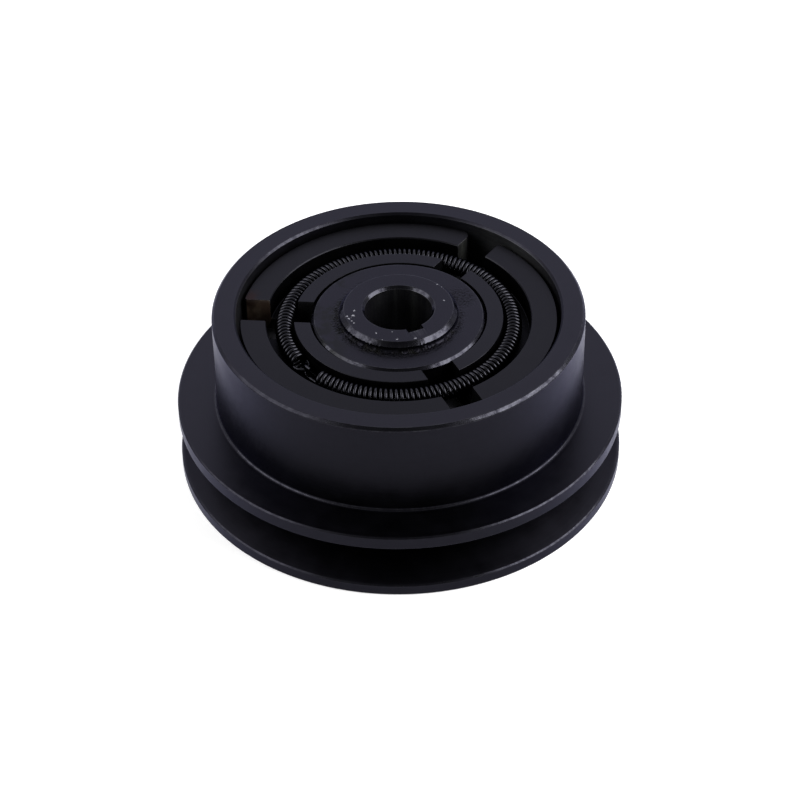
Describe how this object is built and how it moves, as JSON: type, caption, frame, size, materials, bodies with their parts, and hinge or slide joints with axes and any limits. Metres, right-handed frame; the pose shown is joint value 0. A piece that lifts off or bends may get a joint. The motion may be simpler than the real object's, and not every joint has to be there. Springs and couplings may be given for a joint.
{
  "type": "centrifugal clutch",
  "caption": "Centrifugal clutch: a drum turned in one piece with a one-groove V-belt sheave, three shoes under a garter spring, and a keyed hub on two sealed ball bearings.",
  "frame": {"origin": "on the clutch's axis, in the plane of the sheave's lower face", "axes": "+Z along the axis, from the sheave's lower face to the open side of the drum; +X through the middle of shoe_1"},
  "size_m": [0.1286, 0.1286, 0.0507],
  "materials": {
    "drum_steel": "black coated steel, finely turned, satin",
    "hub_steel": "black coated steel, satin, worn bright on its chamfers",
    "shoe_steel": "black coated steel, satin, brownish on the sawn ends",
    "spring_steel": "dark drawn spring wire, semi-gloss",
    "bearing_steel": "ground bearing steel",
    "circlip_steel": "phosphated spring steel",
    "seal_rubber": "moulded nitrile rubber",
    "cage_plastic": "moulded polyamide"
  },
  "bodies": {
    "drum": {"drum_pulley": "drum_steel", "drum_circlip": "circlip_steel", "upper_bearing_outer_ring": "bearing_steel", "upper_bearing_top_seal": "seal_rubber", "upper_bearing_bottom_seal": "seal_rubber", "lower_bearing_outer_ring": "bearing_steel", "lower_bearing_top_seal": "seal_rubber", "lower_bearing_bottom_seal": "seal_rubber"},
    "hub": {"driver_hub": "hub_steel", "hub_circlip": "circlip_steel", "garter_spring": "spring_steel", "upper_bearing_inner_ring": "bearing_steel", "lower_bearing_inner_ring": "bearing_steel"},
    "upper_ball_set": {"upper_bearing_balls": "bearing_steel", "upper_bearing_cage": "cage_plastic"},
    "lower_ball_set": {"lower_bearing_balls": "bearing_steel", "lower_bearing_cage": "cage_plastic"},
    "shoe_1": {"shoe_1": "shoe_steel"},
    "shoe_2": {"shoe_2": "shoe_steel"},
    "shoe_3": {"shoe_3": "shoe_steel"}
  },
  "joints": [
    {"name": "hub_spin", "type": "hinge", "parent": "drum", "child": "hub", "pos_m": [0, 0, 0.0121], "axis": [0, 0, 1], "continuous": true},
    {"name": "upper_ball_set_spin", "type": "hinge", "parent": "drum", "child": "upper_ball_set", "pos_m": [0, 0, 0.0166], "axis": [0, 0, 1], "continuous": true},
    {"name": "lower_ball_set_spin", "type": "hinge", "parent": "drum", "child": "lower_ball_set", "pos_m": [0, 0, 0.00755], "axis": [0, 0, 1], "continuous": true},
    {"name": "shoe_1_slide", "type": "slide", "parent": "hub", "child": "shoe_1", "axis": [1, 0, 0], "range_m": [0, 0.0009], "stiffness_N_per_m": 2300, "springref_m": -0.032, "deforming": ["garter_spring"]},
    {"name": "shoe_2_slide", "type": "slide", "parent": "hub", "child": "shoe_2", "axis": [-0.5, 0.866, 0], "range_m": [0, 0.0009], "stiffness_N_per_m": 2300, "springref_m": -0.032, "deforming": ["garter_spring"]},
    {"name": "shoe_3_slide", "type": "slide", "parent": "hub", "child": "shoe_3", "axis": [-0.5, -0.866, 0], "range_m": [0, 0.0009], "stiffness_N_per_m": 2300, "springref_m": -0.032, "deforming": ["garter_spring"]}
  ],
  "couplings": [
    {"joint": "upper_ball_set_spin", "follows": "hub_spin", "ratio": 0.4351},
    {"joint": "lower_ball_set_spin", "follows": "hub_spin", "ratio": 0.4351}
  ]
}
